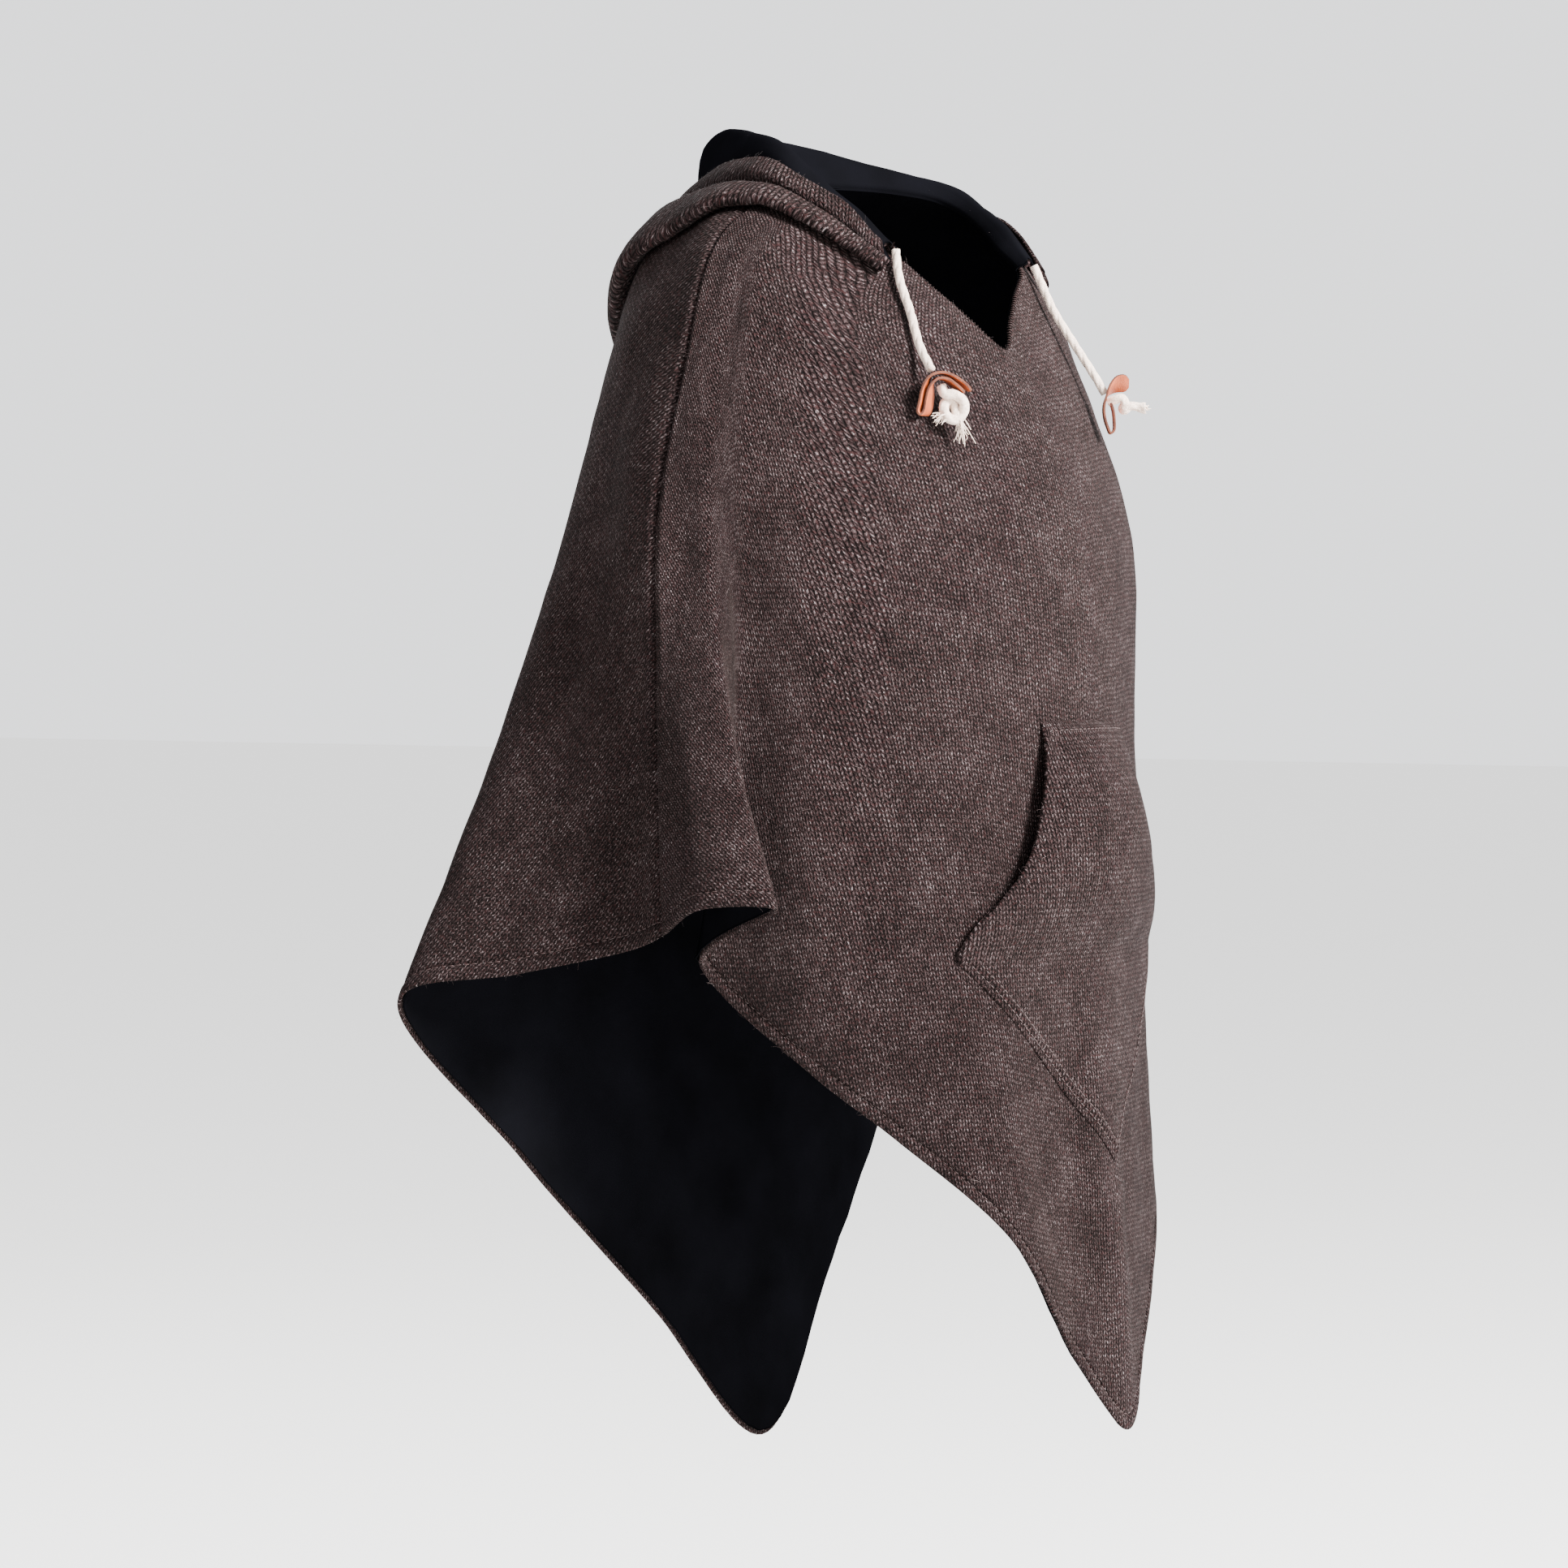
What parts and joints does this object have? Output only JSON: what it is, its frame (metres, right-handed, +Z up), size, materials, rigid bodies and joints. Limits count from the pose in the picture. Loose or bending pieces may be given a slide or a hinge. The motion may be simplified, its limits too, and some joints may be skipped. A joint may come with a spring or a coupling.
{
  "type": "hooded wool poncho",
  "caption": "Worn hooded poncho with no wearer: open at the hem, arms' sides and neck, lined, with a hood lying down, a pouch pocket and a drawcord with leather tabs.",
  "frame": {"origin": "where the wearer's neck and shoulders hold the cloth: midway between the two shoulder points of the neckline", "axes": "+Z up, -Y the way the wearer faces, +X to the wearer's left"},
  "size_m": [0.6809, 0.3765, 0.9363],
  "materials": {
    "wool": "heathered grey-brown felted wool knit with a short nap",
    "lining": "dark navy cotton",
    "cord": "undyed cotton cord",
    "leather": "tan leather"
  },
  "bodies": {
    "root": {"front_panel": "wool", "front_lining": "lining", "back_panel": "wool", "back_lining": "lining", "hood_right": "wool", "hood_lining_right": "lining", "hood_left": "wool", "hood_lining_left": "lining", "pocket": "wool", "cord_right": "cord", "cord_left": "cord", "tab_right": "leather", "knot_right": "cord", "tab_left": "leather", "knot_left": "cord"}
  },
  "joints": []
}
